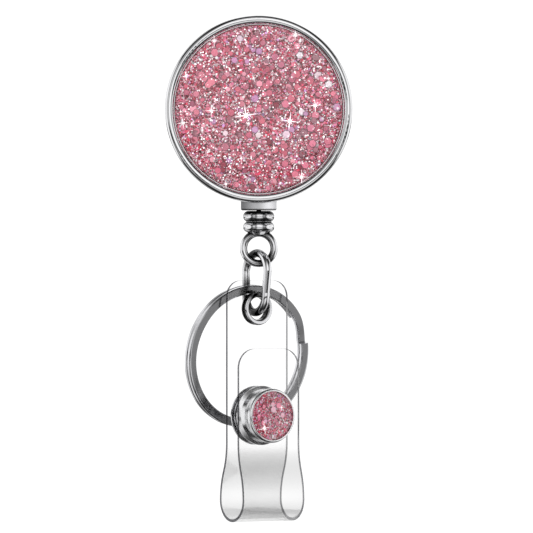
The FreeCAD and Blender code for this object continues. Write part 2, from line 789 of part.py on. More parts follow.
def strap_half_points(side, layer, top):
    """Section of one half of the folded strap; side is 1 behind the fold and -1 in front of it."""
    skin = "%d * sheet_half" % side
    swell = "(loop_middle + %d * loop_radius)" % side
    out = "(%d * (%s - %s))" % (side, swell, layer)
    drop = "(swell_top - loop_height)"
    bend = "((%s^2 + %s^2) / (4 * %s))" % (out, drop, out)
    across = "(1 - %s / (2 * %s))" % (out, bend)
    up = "(%s / (2 * %s))" % (drop, bend)
    mid_y = "(%s + %s) / 2" % (layer, swell)
    mid_z = "(swell_top + loop_height) / 2"
    wide = bend + " + sheet_half"
    tight = bend + " - sheet_half"
    return [
        ("%s - %s" % (layer, skin), top),
        ("%s - %s" % (layer, skin), "swell_top"),
        ("%s - %s * %s" % (mid_y, skin, across), "%s - sheet_half * %s" % (mid_z, up), wide, side),
        ("%s - %s" % (swell, skin), "loop_height", tight, -side),
        ("loop_middle", "loop_height - loop_radius + sheet_half", "loop_radius - sheet_half", -side),
        ("loop_middle", "loop_height - loop_radius - sheet_half"),
        ("%s + %s" % (swell, skin), "loop_height", "loop_radius + sheet_half", side),
        ("%s + %s * %s" % (mid_y, skin, across), "%s + sheet_half * %s" % (mid_z, up), wide, side),
        ("%s + %s" % (layer, skin), "swell_top", tight, -side),
        ("%s + %s" % (layer, skin), top),
    ]


def strap_half(name, side, layer, top, corner, holes):
    body = new_body(name, "strap")
    section = new_sketch(body, name + "_section", "YZ_Plane")
    outline(section, strap_half_points(side, layer, top))
    pad(body, section, name + "_pad", "2 * strap_half", symmetric=True)
    high = value(top) - 1e-4
    corners = lambda edge: edge.BoundBox.ZMin > high and edge.BoundBox.XLength < 1e-4
    round_edges(body, name + "_corners", corners, corner)
    doc.recompute()
    before = body.Shape.Volume
    punched = new_sketch(body, name + "_holes", "XZ_Plane", "-(%s) - 1" % layer)
    for height, radius in holes:
        circle(punched, 0, height, radius)
    pocket(body, punched, name + "_punch", 2.0, back=True)
    doc.recompute()
    check_less(body, before, 2)
    return body


def strap_back():
    holes = [("eyelet_height", "eyelet_barrel"), ("snap_height", "snap_shank")]
    return strap_half("strap_back", 1, "back_layer", "back_top", "back_corner", holes)


def strap_flap():
    return strap_half("strap_flap", -1, "front_layer", "flap_top", "flap_corner", [("snap_height", "snap_shank")])


def strap_eyelet():
    body = at_height("strap_eyelet", "eyelet_height", [
        ("eyelet_hole", "back_layer + sheet_half + 0.45"),
        ("eyelet_hole", "back_layer - sheet_half - 0.45"),
        ("eyelet_flange", "back_layer - sheet_half - 0.45"),
        ("eyelet_flange", "back_layer - sheet_half"),
        ("eyelet_barrel", "back_layer - sheet_half"),
        ("eyelet_barrel", "back_layer + sheet_half + 0.3"),
        ("eyelet_barrel + 0.25", "back_layer + sheet_half + 0.3"),
        ("eyelet_barrel + 0.25", "back_layer + sheet_half + 0.45"),
    ])
    front = value("back_layer - sheet_half - 0.45")
    for name, radius, size in (("lip_fillet", value("eyelet_hole"), 0.3), ("edge_fillet", value("eyelet_flange"), 0.3)):
        round_edges(body, name, lambda edge, radius=radius: is_round(edge, radius, front), size)
    return body


def eyelet_washer():
    low = "back_layer + sheet_half"
    return at_height("eyelet_washer", "eyelet_height",
                     box_points("eyelet_barrel + 0.01", low, "eyelet_flange - 0.05", low + " + 0.28"))


def snap_post():
    face = "back_layer + sheet_half"
    body = at_height("snap_post", "snap_height", [
        (0, face + " - 1.3"),
        ("snap_shank", face + " - 1.3"),
        ("snap_shank", face),
        ("snap_flange", face),
        ("snap_flange", face + " + 0.5"),
        (3.4, face + " + 0.5"),
        (3.0, face + " + 0.35"),
        (0, face + " + 0.35"),
    ])
    back = value(face + " + 0.5")
    round_edges(body, "flange_fillet", lambda edge: is_round(edge, value("snap_flange"), back), 0.3)
    return body


def snap_stud():
    face = "back_layer - sheet_half"
    return at_height("snap_stud", "snap_height", [
        ("snap_shank", face),
        (4.0, face),
        (4.0, face + " - 0.3"),
        (3.8, face + " - 0.4"),
        (1.7, face + " - 0.4"),
        (1.5, face + " - 0.6"),
        (1.5, face + " - 0.95"),
        (1.75, face + " - 1.3"),
        (1.75, face + " - 1.6"),
        (1.4, face + " - 2.0"),
        (0, face + " - 2.0"),
        (0, face + " - 0.82"),
        ("snap_shank", face + " - 0.82"),
    ])


def snap_socket():
    face = "front_layer + sheet_half"
    return at_height("snap_socket", "snap_height", [
        ("snap_shank", face),
        ("snap_shank", face + " + 0.7"),
        (2.35, face + " + 0.7"),
        (2.35, face + " + 1.9"),
        (1.95, face + " + 1.9"),
        (1.95, face + " + 2.25"),
        ("snap_flange - 0.2", face + " + 2.25"),
        ("snap_flange", face + " + 2.05"),
        ("snap_flange", face + " + 1.75"),
        (4.55, face + " + 1.4"),
        (4.3, face + " + 0.7"),
        (4.3, face),
    ])


def socket_spring():
    body = new_body("socket_spring", "strap")
    sketch = new_sketch(body, "wire_section", "XY_Plane", "snap_height")
    circle(sketch, 2.12, "front_layer + sheet_half + 1.55", 0.14)
    revolve(body, sketch, "wire_turn", angle=320.0)
    return body


def snap_cap():
    face = "front_layer - sheet_half"
    body = at_height("snap_cap", "snap_height", [
        (0, face + " + 1.15"),
        (0, face + " - 0.45"),
        ("window_radius + 0.02", face + " - 0.45"),
        ("window_radius + 0.02", face + " - 1.1"),
        ("bezel_radius", face + " - 1.1"),
        ("bezel_radius", face),
        ("snap_shank", face),
        ("snap_shank", face + " + 1.15"),
    ])
    front = value(face + " - 1.1")
    bezel = value("bezel_radius")
    round_edges(body, "lip_fillet", lambda edge: is_round(edge, bezel, front), 0.35)
    round_edges(body, "foot_fillet", lambda edge: is_round(edge, bezel, value(face)), 0.2)
    return body


def snap_glitter_disc():
    face = "front_layer - sheet_half"
    return at_height("snap_glitter_disc", "snap_height",
                     box_points(0, face + " - 0.7", "window_radius", face + " - 0.46"))


def snap_dome():
    face = "front_layer - sheet_half"
    return at_height("snap_dome", "snap_height", [
        (0, face + " - 1.45"),
        ("window_radius", face + " - 0.98", "(window_radius^2 + 0.47^2) / 0.94", 1),
        ("window_radius", face + " - 0.72"),
        (0, face + " - 0.72"),
    ])


# ---------------------------------------------------------------- split ring


def ring_section(angle, depth):
    """Closed wire of one coil's section at an angle round the ring and a depth along its axis."""
    inner = value("ring_inner")
    outer = value("ring_outer")
    half = value("ring_strip") / 2
    out = FreeCAD.Vector(math.cos(math.radians(angle)), 0, math.sin(math.radians(angle)))
    deep = FreeCAD.Vector(0, 1, 0)
    corner = 0.18
    spots = []
    for radius, axial, first, second in (
            (inner, -half, (0, corner), (corner, 0)),
            (outer, -half, (-corner, 0), (0, corner)),
            (outer, half, (0, -corner), (-corner, 0)),
            (inner, half, (corner, 0), (0, -corner))):
        for shift in (first, second):
            spots.append(out * (radius + shift[0]) + deep * (depth + axial + shift[1]))
    return Part.makePolygon(spots + [spots[0]])


def split_ring():
    """Two flat coils joined by one sloping crossover, so that keys thread on at the cut."""
    step = value("ring_step")
    cut = value("ring_cut")
    ramp = value("ring_ramp")
    solid = None
    for depth in (-step / 2, step / 2):
        face = Part.Face(ring_section(cut + ramp / 2, depth))
        coil = face.revolve(FreeCAD.Vector(0, 0, 0), FreeCAD.Vector(0, -1, 0), 360 - ramp)
        solid = coil if solid is None else solid.fuse(coil)
    steps = 10
    sections = []
    for number in range(steps + 1):
        share = number / steps
        blend = share * share * (3 - 2 * share)
        sections.append(ring_section(cut - ramp / 2 + ramp * share, step / 2 - step * blend))
    solid = solid.fuse(Part.makeLoft(sections, True, True))
    item = doc.addObject("Part::Feature", "split_ring")
    item.Shape = solid
    middle = value("ring_top") + (value("ring_inner") + value("ring_outer")) / 2 * math.sin(
        math.radians(value("ring_tilt")))
    lean = FreeCAD.Placement(
        FreeCAD.Vector(0, middle, value("ring_height")),
        FreeCAD.Rotation(FreeCAD.Vector(1, 0, 0), value("ring_tilt")))
    item.Placement = strap_frame().multiply(lean)
    return item


SUB_PARTS = [
    clip_base, swivel_rivet, swivel_washer, clip_hinge_pin, clip_spring, clip_lever,
    front_case, glitter_disc, clear_dome, rear_cover, case_screws, centre_post, thrust_washers,
    cord_guide, guide_eyelet, cord_lead,
    spool, power_spring, spring_cover, cord_winding, cord_knot, end_fitting, oval_link,
    strap_back, strap_eyelet, eyelet_washer, snap_post, snap_stud,
    strap_flap, snap_socket, socket_spring, snap_cap, snap_glitter_disc, snap_dome,
    split_ring,
]
items = []
for build in SUB_PARTS:
    item = build()
    item.Label = build.__name__
    items.append(item)
doc.recompute()

for item in doc.Objects:
    if "Invalid" in item.State or "Error" in item.State:
        raise RuntimeError("%s is %s" % (item.Name, item.State))
os.makedirs("parts", exist_ok=True)
for item in items:
    shape = item.Shape
    if shape.isNull() or not shape.isValid() or shape.Volume < 0.01:
        raise RuntimeError("%s has no valid shape" % item.Label)
    shape.exportStep("parts/%s.step" % item.Label)
    print("%-20s %9.2f mm3, %d solid(s), %d faces" % (
        item.Label, shape.Volume, len(shape.Solids), len(shape.Faces)))
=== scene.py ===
import json
import math
import random

import bmesh
import bpy
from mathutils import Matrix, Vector


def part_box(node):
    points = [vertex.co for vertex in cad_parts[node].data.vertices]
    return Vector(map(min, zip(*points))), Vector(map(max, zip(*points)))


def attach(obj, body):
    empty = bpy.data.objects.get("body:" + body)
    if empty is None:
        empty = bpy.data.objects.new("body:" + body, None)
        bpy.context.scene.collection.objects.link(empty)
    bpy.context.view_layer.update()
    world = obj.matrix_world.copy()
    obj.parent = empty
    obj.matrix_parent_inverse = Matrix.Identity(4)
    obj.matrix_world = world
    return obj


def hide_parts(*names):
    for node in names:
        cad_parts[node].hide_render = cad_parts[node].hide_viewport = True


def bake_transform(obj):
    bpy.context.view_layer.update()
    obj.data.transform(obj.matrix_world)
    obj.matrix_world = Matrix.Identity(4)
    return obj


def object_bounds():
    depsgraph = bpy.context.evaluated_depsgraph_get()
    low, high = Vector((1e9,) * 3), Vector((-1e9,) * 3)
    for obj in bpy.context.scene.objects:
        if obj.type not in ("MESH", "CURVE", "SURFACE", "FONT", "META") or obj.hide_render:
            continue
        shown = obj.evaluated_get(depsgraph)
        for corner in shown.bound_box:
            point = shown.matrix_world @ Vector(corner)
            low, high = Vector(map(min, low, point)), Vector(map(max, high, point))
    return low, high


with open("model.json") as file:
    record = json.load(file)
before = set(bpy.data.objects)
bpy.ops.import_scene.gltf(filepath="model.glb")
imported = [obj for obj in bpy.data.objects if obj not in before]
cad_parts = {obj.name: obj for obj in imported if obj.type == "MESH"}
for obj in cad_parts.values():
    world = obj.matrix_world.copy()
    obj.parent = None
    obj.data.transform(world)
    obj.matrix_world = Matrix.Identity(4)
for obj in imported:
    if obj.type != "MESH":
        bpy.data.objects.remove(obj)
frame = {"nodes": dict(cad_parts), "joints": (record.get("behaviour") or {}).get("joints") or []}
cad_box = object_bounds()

# Looks of a retractable badge reel, in metres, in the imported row's frame.
# The reel's face looks towards -Y and +Z is up.
# Scales of noise are in cells per metre, and bump distances are in metres.

MM = 0.001
scene = bpy.context.scene
nodes = frame["nodes"]

disc_low, disc_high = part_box("glitter_disc")
REEL = (disc_low + disc_high) / 2                      # the reel's centre, on the glitter disc
DISC_FRONT = disc_low.y
DOME_LOW, DOME_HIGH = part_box("clear_dome")
ROW_RISE = 13                                          # the row's heights minus the drawing's, in mm
UP = Vector((0, 0, 1))
FRONT = Vector((0, -1, 0))
STRAP_TURN = math.radians(34)
ACROSS = Vector((math.cos(STRAP_TURN), math.sin(STRAP_TURN), 0))     # along the strap's width
FACING = Vector((math.sin(STRAP_TURN), -math.cos(STRAP_TURN), 0))    # out of the strap's front


# ---------------------------------------------------------------- node helpers


class Nodes:
    """A short way to write a node tree."""

    def __init__(self, tree):
        self.tree = tree
        tree.nodes.clear()

    def add(self, kind, links=(), **values):
        node = self.tree.nodes.new("ShaderNode" + kind)
        for key, value in values.items():
            setattr(node, key, value)
        for name, source in dict(links).items():
            socket = node.inputs[name]
            if isinstance(source, bpy.types.NodeSocket):
                self.tree.links.new(source, socket)
            else:
                socket.default_value = source
        return node

    def math(self, operation, first, second=0.0, clamp=False):
        node = self.add("Math", {0: first, 1: second}, operation=operation)
        node.use_clamp = clamp
        return node.outputs[0]

    def vector(self, operation, first, second=None):
        node = self.add("VectorMath", {0: first}, operation=operation)
        if second is not None:
            self.plug(second, node.inputs[3 if operation == "SCALE" else 1])
        return node.outputs[1 if operation in ("LENGTH", "DOT_PRODUCT") else 0]

    def plug(self, source, socket):
        if isinstance(source, bpy.types.NodeSocket):
            self.tree.links.new(source, socket)
        else:
            socket.default_value = source

    def noise(self, where, scale, detail=3.0, rough=0.5):
        return self.add("TexNoise", {"Vector": where, "Scale": scale, "Detail": detail,
                                     "Roughness": rough}).outputs[0]

    def spread(self, source, low, high):
        """source from 0..1 to low..high"""
        return self.add("MapRange", {0: source, 3: low, 4: high}).outputs[0]

    def spread_from(self, source, low, high):
        """source from low..high to 0..1"""
        return self.add("MapRange", {0: source, 1: low, 2: high}).outputs[0]

    def ramp(self, source, stops, mode="EASE"):
        node = self.add("ValToRGB", {0: source})
        node.color_ramp.interpolation = mode
        elements = node.color_ramp.elements
        while len(elements) > 1:
            elements.remove(elements[0])
        for number, (position, colour) in enumerate(stops):
            grey = colour if isinstance(colour, tuple) else (colour,) * 3
            element = elements[0] if number == 0 else elements.new(position)
            element.position = position
            element.color = grey + (1,)
        return node.outputs[0]

    def mix(self, factor, first, second, blend="MIX"):
        node = self.add("Mix", data_type="RGBA", blend_type=blend)
        self.plug(factor, node.inputs[0])
        for socket, colour in ((node.inputs[6], first), (node.inputs[7], second)):
            self.plug(colour + (1,) if isinstance(colour, tuple) else colour, socket)
        return node.outputs[2]

    def bump(self, height, strength, distance):
        return self.add("Bump", {"Height": height, "Strength": strength, "Distance": distance}).outputs[0]


def new_material(name):
    made = bpy.data.materials.new(name)
    made.use_nodes = True
    n = Nodes(made.node_tree)
    return made, n


def finish_material(n, **sockets):
    names = {key.replace("_", " "): value for key, value in sockets.items()}
    shader = n.add("BsdfPrincipled")
    for key, value in names.items():
        if isinstance(value, tuple) and len(value) == 3:
            value = value + (1,)
        n.plug(value, shader.inputs[key])
    n.add("OutputMaterial", {"Surface": shader.outputs[0]})
    return shader


def metal(name, colour, dull, rough, fine=2600.0, depth=0.5, stretch=(1, 1, 1), mottle=0.1,
          sweep=0.0, hollow_shade_reach=0.0):
    """Plated or bare metal: faint mottling, hairline scratches and a roughness that wanders.
    sweep is half the width, in metres, of a painted shade that runs from dark on the left to light.
    The last argument is how far, in metres, a painted shade reaches into hollows, where ambient occlusion
    darkens the colour."""
    made, n = new_material(name)
    where = n.add("TexCoord").outputs["Object"]
    drawn = n.vector("MULTIPLY", where, stretch)
    cloud = n.noise(where, 420.0, 4.0)
    hair = n.noise(drawn, fine, 5.0, 0.62)
    tone = n.mix(n.spread(cloud, 0.0, 1.0), colour, dull)
    tone = n.mix(n.math("MULTIPLY", hair, mottle), tone, tuple(c * 0.55 for c in dull))
    roughness = n.math("ADD", n.spread(cloud, rough * 0.75, rough * 1.15),
                       n.spread(hair, -rough * 0.2, rough * 0.3))
    height = n.math("ADD", n.math("MULTIPLY", hair, 0.6), n.math("MULTIPLY", cloud, 0.4))
    # Painted shade across the face, dark on the left and light towards the right.
    if sweep:
        across = n.add("SeparateXYZ", {0: where}).outputs[0]
        painted_sweep_shade = n.ramp(n.spread_from(across, -sweep, sweep),
                      [(0.0, 0.20), (0.45, 0.52), (0.8, 1.0), (1.0, 0.72)])
        tone = n.mix(1.0, tone, painted_sweep_shade, "MULTIPLY")
    # Painted shade in hollows: ambient occlusion darkens the colour where shade falls.
    if hollow_shade_reach:
        open_sky = n.add("AmbientOcclusion", {"Distance": hollow_shade_reach}, samples=8).outputs["AO"]
        painted_hollow_shade = n.ramp(open_sky, [(0.0, 0.01), (0.70, 0.03), (0.87, 0.42), (0.97, 1.0)])
        tone = n.mix(1.0, tone, painted_hollow_shade, "MULTIPLY")
    finish_material(n, Base_Color=tone, Metallic=1.0, Roughness=roughness,
                    Normal=n.bump(height, depth, 4e-6))
    return made


# How far inside the outer radius the painted highlight line begins, and where it is full.
HIGHLIGHT_LINE_START = 0.34 * MM
HIGHLIGHT_LINE_FULL = 0.18 * MM


def ring_metal(name, centre, axis, colour, dull, rough, fine, depth=0.5, face=1.0, outer=0.0):
    """Metal drawn or turned round an axis, so that its hairlines run round with it.
    face is how much of the colour is left on surfaces that face along the axis, a painted shade, apart
    from a painted highlight line at the outer radius."""
    made, n = new_material(name)
    where = n.add("TexCoord").outputs["Object"]
    local = n.vector("SUBTRACT", where, tuple(centre))
    along = n.vector("DOT_PRODUCT", local, tuple(axis))
    flat = n.vector("SUBTRACT", local, n.vector("SCALE", tuple(axis), along))
    radial = n.vector("LENGTH", flat)
    lines = n.add("CombineXYZ", {0: radial, 1: along}).outputs[0]
    hair = n.noise(lines, fine, 4.0, 0.65)
    cloud = n.noise(where, 300.0, 4.0)
    wear = n.noise(where, 2400.0, 3.0)
    tone = n.mix(n.spread(cloud, 0.0, 1.0), colour, dull)
    tone = n.mix(n.math("MULTIPLY", hair, 0.25), tone, tuple(c * 0.5 for c in dull))
    roughness = n.math("ADD", n.spread(hair, rough * 0.7, rough * 1.3),
                       n.spread(wear, -rough * 0.15, rough * 0.25))
    height = n.math("ADD", n.math("MULTIPLY", hair, 0.8), n.math("MULTIPLY", wear, 0.2))
    # Painted shade on faces along the axis, with a painted highlight line at the outer radius.
    if face < 1.0:
        own = n.add("TexCoord").outputs["Normal"]
        facing = n.math("ABSOLUTE", n.vector("DOT_PRODUCT", own, tuple(axis)))
        painted_face_shade = n.ramp(facing, [(0.0, 1.0), (0.60, 1.0), (0.90, face), (1.0, face)])
        painted_highlight_line = n.spread_from(radial, outer - HIGHLIGHT_LINE_START, outer - HIGHLIGHT_LINE_FULL)
        tone = n.mix(1.0, tone, n.mix(painted_highlight_line, painted_face_shade, (1.0, 1.0, 1.0)), "MULTIPLY")
    finish_material(n, Base_Color=tone, Metallic=1.0, Roughness=roughness,
                    Normal=n.bump(height, depth, 5e-6))
    return made


def plastic(name, colour, other, rough, grain, depth):
    """Moulded plastic: spark-eroded grain, a little colour drift and rubbed patches."""
    made, n = new_material(name)
    where = n.add("TexCoord").outputs["Object"]
    cells = n.add("TexVoronoi", {"Vector": where, "Scale": grain, "Randomness": 1.0},
                  feature="SMOOTH_F1").outputs[0]
    cloud = n.noise(where, 180.0, 4.0)
    rubbed = n.noise(where, 700.0, 5.0, 0.6)
    tone = n.mix(n.spread(cloud, 0.0, 1.0), colour, other)
    roughness = n.math("ADD", n.spread(rubbed, rough * 0.8, rough * 1.15), n.spread(cells, -0.03, 0.05))
    height = n.math("ADD", n.math("MULTIPLY", cells, 0.7), n.math("MULTIPLY", rubbed, 0.3))
    finish_material(n, Base_Color=tone, Roughness=roughness, Normal=n.bump(height, depth, 2e-5))
    return made


BRAID_PITCH = 9000.0        # the weave's turn in radians for each metre


def braid(name):
    """Tightly braided nylon cord."""
    made, n = new_material(name)
    where = n.add("TexCoord").outputs["Object"]
    parts = n.add("SeparateXYZ", {0: where})
    turn = n.math("MULTIPLY", n.math("ADD", parts.outputs[0], parts.outputs[1]), BRAID_PITCH)
    climb = n.math("MULTIPLY", parts.outputs[2], BRAID_PITCH)
    left = n.math("SINE", n.math("ADD", turn, climb))
    right = n.math("SINE", n.math("SUBTRACT", turn, climb))
    weave = n.math("MAXIMUM", left, right)
    fuzz = n.noise(where, 9000.0, 3.0)
    tone = n.mix(n.math("ADD", n.math("MULTIPLY", weave, 0.3), n.math("MULTIPLY", fuzz, 0.4), clamp=True),
                 (0.012, 0.012, 0.014), (0.06, 0.06, 0.066))
    finish_material(n, Base_Color=tone, Roughness=0.62, Sheen_Weight=0.3,
                    Normal=n.bump(n.math("ADD", weave, fuzz), 0.7, 3e-5))
    return made


RESIN_SMEAR = 0.02          # the resin's lowest roughness


def clear_coat(name, colour):
    """A clear resin's surface: see-through, with gloss that grows towards its edges."""
    made, n = new_material(name)
    where = n.add("TexCoord").outputs["Object"]
    wave = n.noise(where, 160.0, 2.0)
    speck = n.noise(where, 1500.0, 4.0)
    normal = n.bump(n.math("ADD", wave, n.math("MULTIPLY", speck, 0.05)), 0.35, 3e-5)
    smear = n.spread(speck, RESIN_SMEAR, RESIN_SMEAR * 2.5)
    gloss = n.add("BsdfAnisotropic", {"Color": (1, 1, 1, 1), "Roughness": smear, "Normal": normal})
    clear = n.add("BsdfTransparent", {"Color": tuple(colour) + (1,)})
    edge = n.add("Fresnel", {"IOR": 1.5, "Normal": normal}).outputs[0]
    both = n.add("MixShader", {0: edge, 1: clear.outputs[0], 2: gloss.outputs[0]})
    n.add("OutputMaterial", {"Surface": both.outputs[0]})
    return made


LOOP_SHADE_TOP = -55.5            # where the painted shade of the bent loop starts, in millimetres on the drawing
LOOP_SHADE_DEPTH = 15.5           # how far down it runs
VINYL_GLOSS = 0.3


def vinyl(name, painted_dark_edge):
    """Clear vinyl. LOOP holds each point's height in millimetres on the drawing, so the painted shade of
    the bent loop, which stands in for the curved vinyl's reflections, goes with the strap when the flap
    opens."""
    made, n = new_material(name)
    where = n.add("TexCoord").outputs["Object"]
    height = n.add("Attribute", attribute_name="LOOP").outputs["Fac"]
    place = n.math("DIVIDE", n.math("SUBTRACT", LOOP_SHADE_TOP, height), LOOP_SHADE_DEPTH, clamp=True)
    # Painted shade down the bent loop: greys that stand in for the curved vinyl's reflections.
    shade = n.ramp(place, [
        (0.00, 0.996), (0.14, 0.975), (0.22, 0.90), (0.33, 0.845), (0.42, 0.85), (0.53, 0.885),
        (0.60, 0.915), (0.66, 0.94), (0.72, 0.93), (0.77, 0.90), (0.84, 0.86), (0.92, 0.88), (1.00, 0.85),
    ], "B_SPLINE")
    cloud = n.noise(where, 240.0, 3.0)
    scuff = n.noise(n.vector("MULTIPLY", where, (1, 1, 0.15)), 3800.0, 4.0, 0.7)
    normal = n.bump(n.math("ADD", cloud, n.math("MULTIPLY", scuff, 0.04)), 0.3, 4e-5)
    grey = n.mix(n.math("MULTIPLY", scuff, 0.02), shade, (0.6, 0.6, 0.62))
    # On the cut edge the clear vinyl is painted dark grey, a painted shade along the edge.
    if painted_dark_edge:
        grey = n.mix(n.spread(cloud, 0.85, 1.0), grey, (0.11, 0.11, 0.12))
    gloss = n.add("BsdfAnisotropic", {"Color": (1, 1, 1, 1), "Roughness": n.spread(scuff, 0.04, 0.12),
                                      "Normal": normal})
    clear = n.add("BsdfTransparent", {"Color": grey})
    fresnel = n.add("Fresnel", {"IOR": 1.45, "Normal": normal}).outputs[0]
    shine = n.math("MULTIPLY", fresnel, VINYL_GLOSS, clamp=True)
    both = n.add("MixShader", {0: shine, 1: clear.outputs[0], 2: gloss.outputs[0]})
    n.add("OutputMaterial", {"Surface": both.outputs[0]})
    return made


GLITTER_CELLS = 5200.0
GLITTER_TILT = 0.55


def glitter_base(name):
    """Fine glitter set in resin: tiny cells, each with its own colour and tilt."""
    made, n = new_material(name)
    where = n.add("TexCoord").outputs["Object"]
    cells = n.add("TexVoronoi", {"Vector": where, "Scale": GLITTER_CELLS, "Randomness": 1.0})
    parts = n.add("SeparateXYZ", {0: cells.outputs["Color"]})
    tone = n.ramp(parts.outputs[0], [
        (0.00, (0.08, 0.004, 0.012)), (0.22, (0.26, 0.02, 0.045)), (0.45, (0.60, 0.11, 0.18)),
        (0.66, (0.80, 0.25, 0.34)), (0.80, (0.98, 0.55, 0.64)), (1.00, (1.0, 0.95, 0.97)),
    ], "LINEAR")
    patch = n.noise(where, 500.0, 3.0)
    tone = n.mix(n.spread(patch, 0.0, 0.35), tone, (0.40, 0.10, 0.15), "MULTIPLY")
    own = n.add("NewGeometry").outputs["Normal"]
    tilt = n.vector("SCALE", n.vector("SUBTRACT", cells.outputs["Color"], (0.5, 0.5, 0.5)), GLITTER_TILT)
    normal = n.vector("NORMALIZE", n.vector("ADD", own, tilt))
    finish_material(n, Base_Color=tone, Metallic=n.spread(parts.outputs[1], 0.1, 0.55),
                    Roughness=n.spread(parts.outputs[2], 0.18, 0.42), Normal=normal)
    return made


def flake_material(name, metallic, glow=0.0):
    """A sequin's coated film: its colour is on the mesh, with a soft mottle and a thin bright coat. A
    nonzero glow makes it glow white, a painted glint.
    """
    made, n = new_material(name)
    where = n.add("TexCoord").outputs["Object"]
    colour = n.add("Attribute", attribute_name="FLAKE").outputs["Color"]
    cloud = n.noise(where, 2600.0, 3.0)
    tone = n.mix(n.spread(cloud, 0.0, 0.10), colour, (0.95, 0.80, 0.86))
    finish_material(n, Base_Color=tone, Metallic=metallic, Roughness=n.spread(cloud, 0.16, 0.34),
                    Coat_Weight=0.3, Coat_Roughness=0.08, Emission_Color=(1.0, 0.97, 0.98),
                    Emission_Strength=glow)
    return made


# ---------------------------------------------------------------- finishes of the CAD nodes

ring_low, ring_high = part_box("split_ring")
RING_CENTRE = (ring_low + ring_high) / 2
RING_OUTER = (ring_high.z - ring_low.z) / 2
RING_LEAN = math.radians(7.2)
RING_AXIS = (FACING * math.cos(RING_LEAN) + UP * math.sin(RING_LEAN)).normalized()

FINISHES = {
    "chrome": metal(
        "chrome", (0.95, 0.95, 0.96), (0.86, 0.86, 0.89), 0.09, depth=0.03, mottle=0.04, hollow_shade_reach=2.5 * MM),
    "chrome_case": ring_metal(
        "chrome_case", REEL, (0, 1, 0), (0.99, 0.99, 1.0), (0.94, 0.94, 0.96), 0.06, 2600.0, 0.06),
    "chrome_plastic": metal(
        "chrome_plastic", (0.92, 0.92, 0.94), (0.86, 0.86, 0.89), 0.16, depth=0.1, sweep=3.0 * MM),
    "bright_steel": ring_metal(
        "bright_steel", RING_CENTRE, RING_AXIS, (0.93, 0.93, 0.95), (0.84, 0.84, 0.87), 0.17, 6000.0, 0.06,
        face=0.26, outer=RING_OUTER),
    "nickel_steel": metal(
        "nickel_steel", (0.78, 0.76, 0.72), (0.64, 0.62, 0.59), 0.21, 2200.0, 0.6, (1, 1, 0.06), 0.2),
    "spring_steel": metal(
        "spring_steel", (0.52, 0.52, 0.53), (0.38, 0.38, 0.39), 0.28, 3000.0, 0.8, mottle=0.3),
    "brass": metal("brass", (0.86, 0.66, 0.32), (0.70, 0.50, 0.22), 0.18),
    "black_plastic": plastic(
        "black_plastic", (0.014, 0.014, 0.016), (0.024, 0.024, 0.027), 0.46, 4200.0, 0.55),
    "white_plastic": plastic("white_plastic", (0.78, 0.78, 0.76), (0.70, 0.70, 0.68), 0.42, 3000.0, 0.3),
    "nylon": plastic("nylon", (0.70, 0.69, 0.64), (0.62, 0.61, 0.56), 0.38, 3600.0, 0.3),
    "cord": braid("cord"),
    "pink_glitter": glitter_base("pink_glitter"),
    "clear_resin": clear_coat("clear_resin", (1.0, 0.995, 0.997)),
    "clear_vinyl": vinyl("clear_vinyl", False),
}

snap_low, snap_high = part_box("snap_glitter_disc")
snap_middle = (snap_low + snap_high) / 2
snap_chrome = ring_metal(
    "snap_chrome", snap_middle, FACING, (0.99, 0.99, 1.0), (0.94, 0.94, 0.96), 0.17, 2600.0, 0.04)

for node in nodes.values():
    for number, old in enumerate(node.data.materials):
        node.data.materials[number] = FINISHES[old.name.split(".")[0]]
for name in ("snap_cap", "snap_socket", "snap_stud", "snap_post"):
    materials = nodes[name].data.materials
    for number, old in enumerate(materials):
        if old == FINISHES["chrome"]:
            materials[number] = snap_chrome


def new_piece(name, build, materials, body, smooth=35):
    """A mesh piece from a bmesh, shaded smooth up to an angle, riding on a body."""
    mesh = bpy.data.meshes.new(name)
    shape = bmesh.new()
    build(shape)
    bmesh.ops.recalc_face_normals(shape, faces=shape.faces)
    shape.to_mesh(mesh)
    shape.free()
    piece = bpy.data.objects.new(name, mesh)
    scene.collection.objects.link(piece)
    for material in materials:
        mesh.materials.append(material)
    mesh.polygons.foreach_set("use_smooth", [True] * len(mesh.polygons))
    mesh.set_sharp_from_angle(angle=math.radians(smooth))
    if body:
        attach(piece, body)
    return piece


# ---------------------------------------------------------------- resin dome over the glitter


LENS_SIDES = 128


def lens(centre, out, up, radius, profile, back):
    """A closed lens: profile gives (share of radius, height above the back plane) from rim to crown."""
    side = up.cross(out).normalized()

    def around(share, k):
        turn = 2 * math.pi * k / LENS_SIDES
        return (side * math.cos(turn) + up * math.sin(turn)) * radius * share

    def build(shape):
        rings = []
        for share, height in [(1.0, 0.0)] + profile:
            middle = centre + out * (back + height)
            if share == 0:
                rings.append([shape.verts.new(middle)])
                continue
            rings.append([shape.verts.new(middle + around(share, k)) for k in range(LENS_SIDES)])
        for low, high in zip(rings, rings[1:]):
            for k in range(LENS_SIDES):
                after = (k + 1) % LENS_SIDES
                if len(high) == 1:
                    shape.faces.new((low[k], low[after], high[0]))
                else:
                    shape.faces.new((low[k], low[after], high[after], high[k]))
        shape.faces.new(list(reversed(rings[0])))
    return build


DOME_STEPS = 24
DOME_EDGE = 0.28 * MM       # the height of the dome's upright edge
DOME_FLATNESS = 4.2         # higher is flatter in the middle
DOME_ROUNDING = 1.9         # higher is rounder at the edge
dome_back = -DOME_HIGH.y
dome_rise = -DOME_LOW.y - dome_back
dome_profile = [(1.0, DOME_EDGE)]
for step in range(1, DOME_STEPS + 1):
    share = math.cos(step / DOME_STEPS * math.pi / 2)
    crown = (1 - share ** DOME_FLATNESS) ** (1 / DOME_ROUNDING)
    dome_profile.append((share if step < DOME_STEPS else 0.0, DOME_EDGE + (dome_rise - DOME_EDGE) * crown))

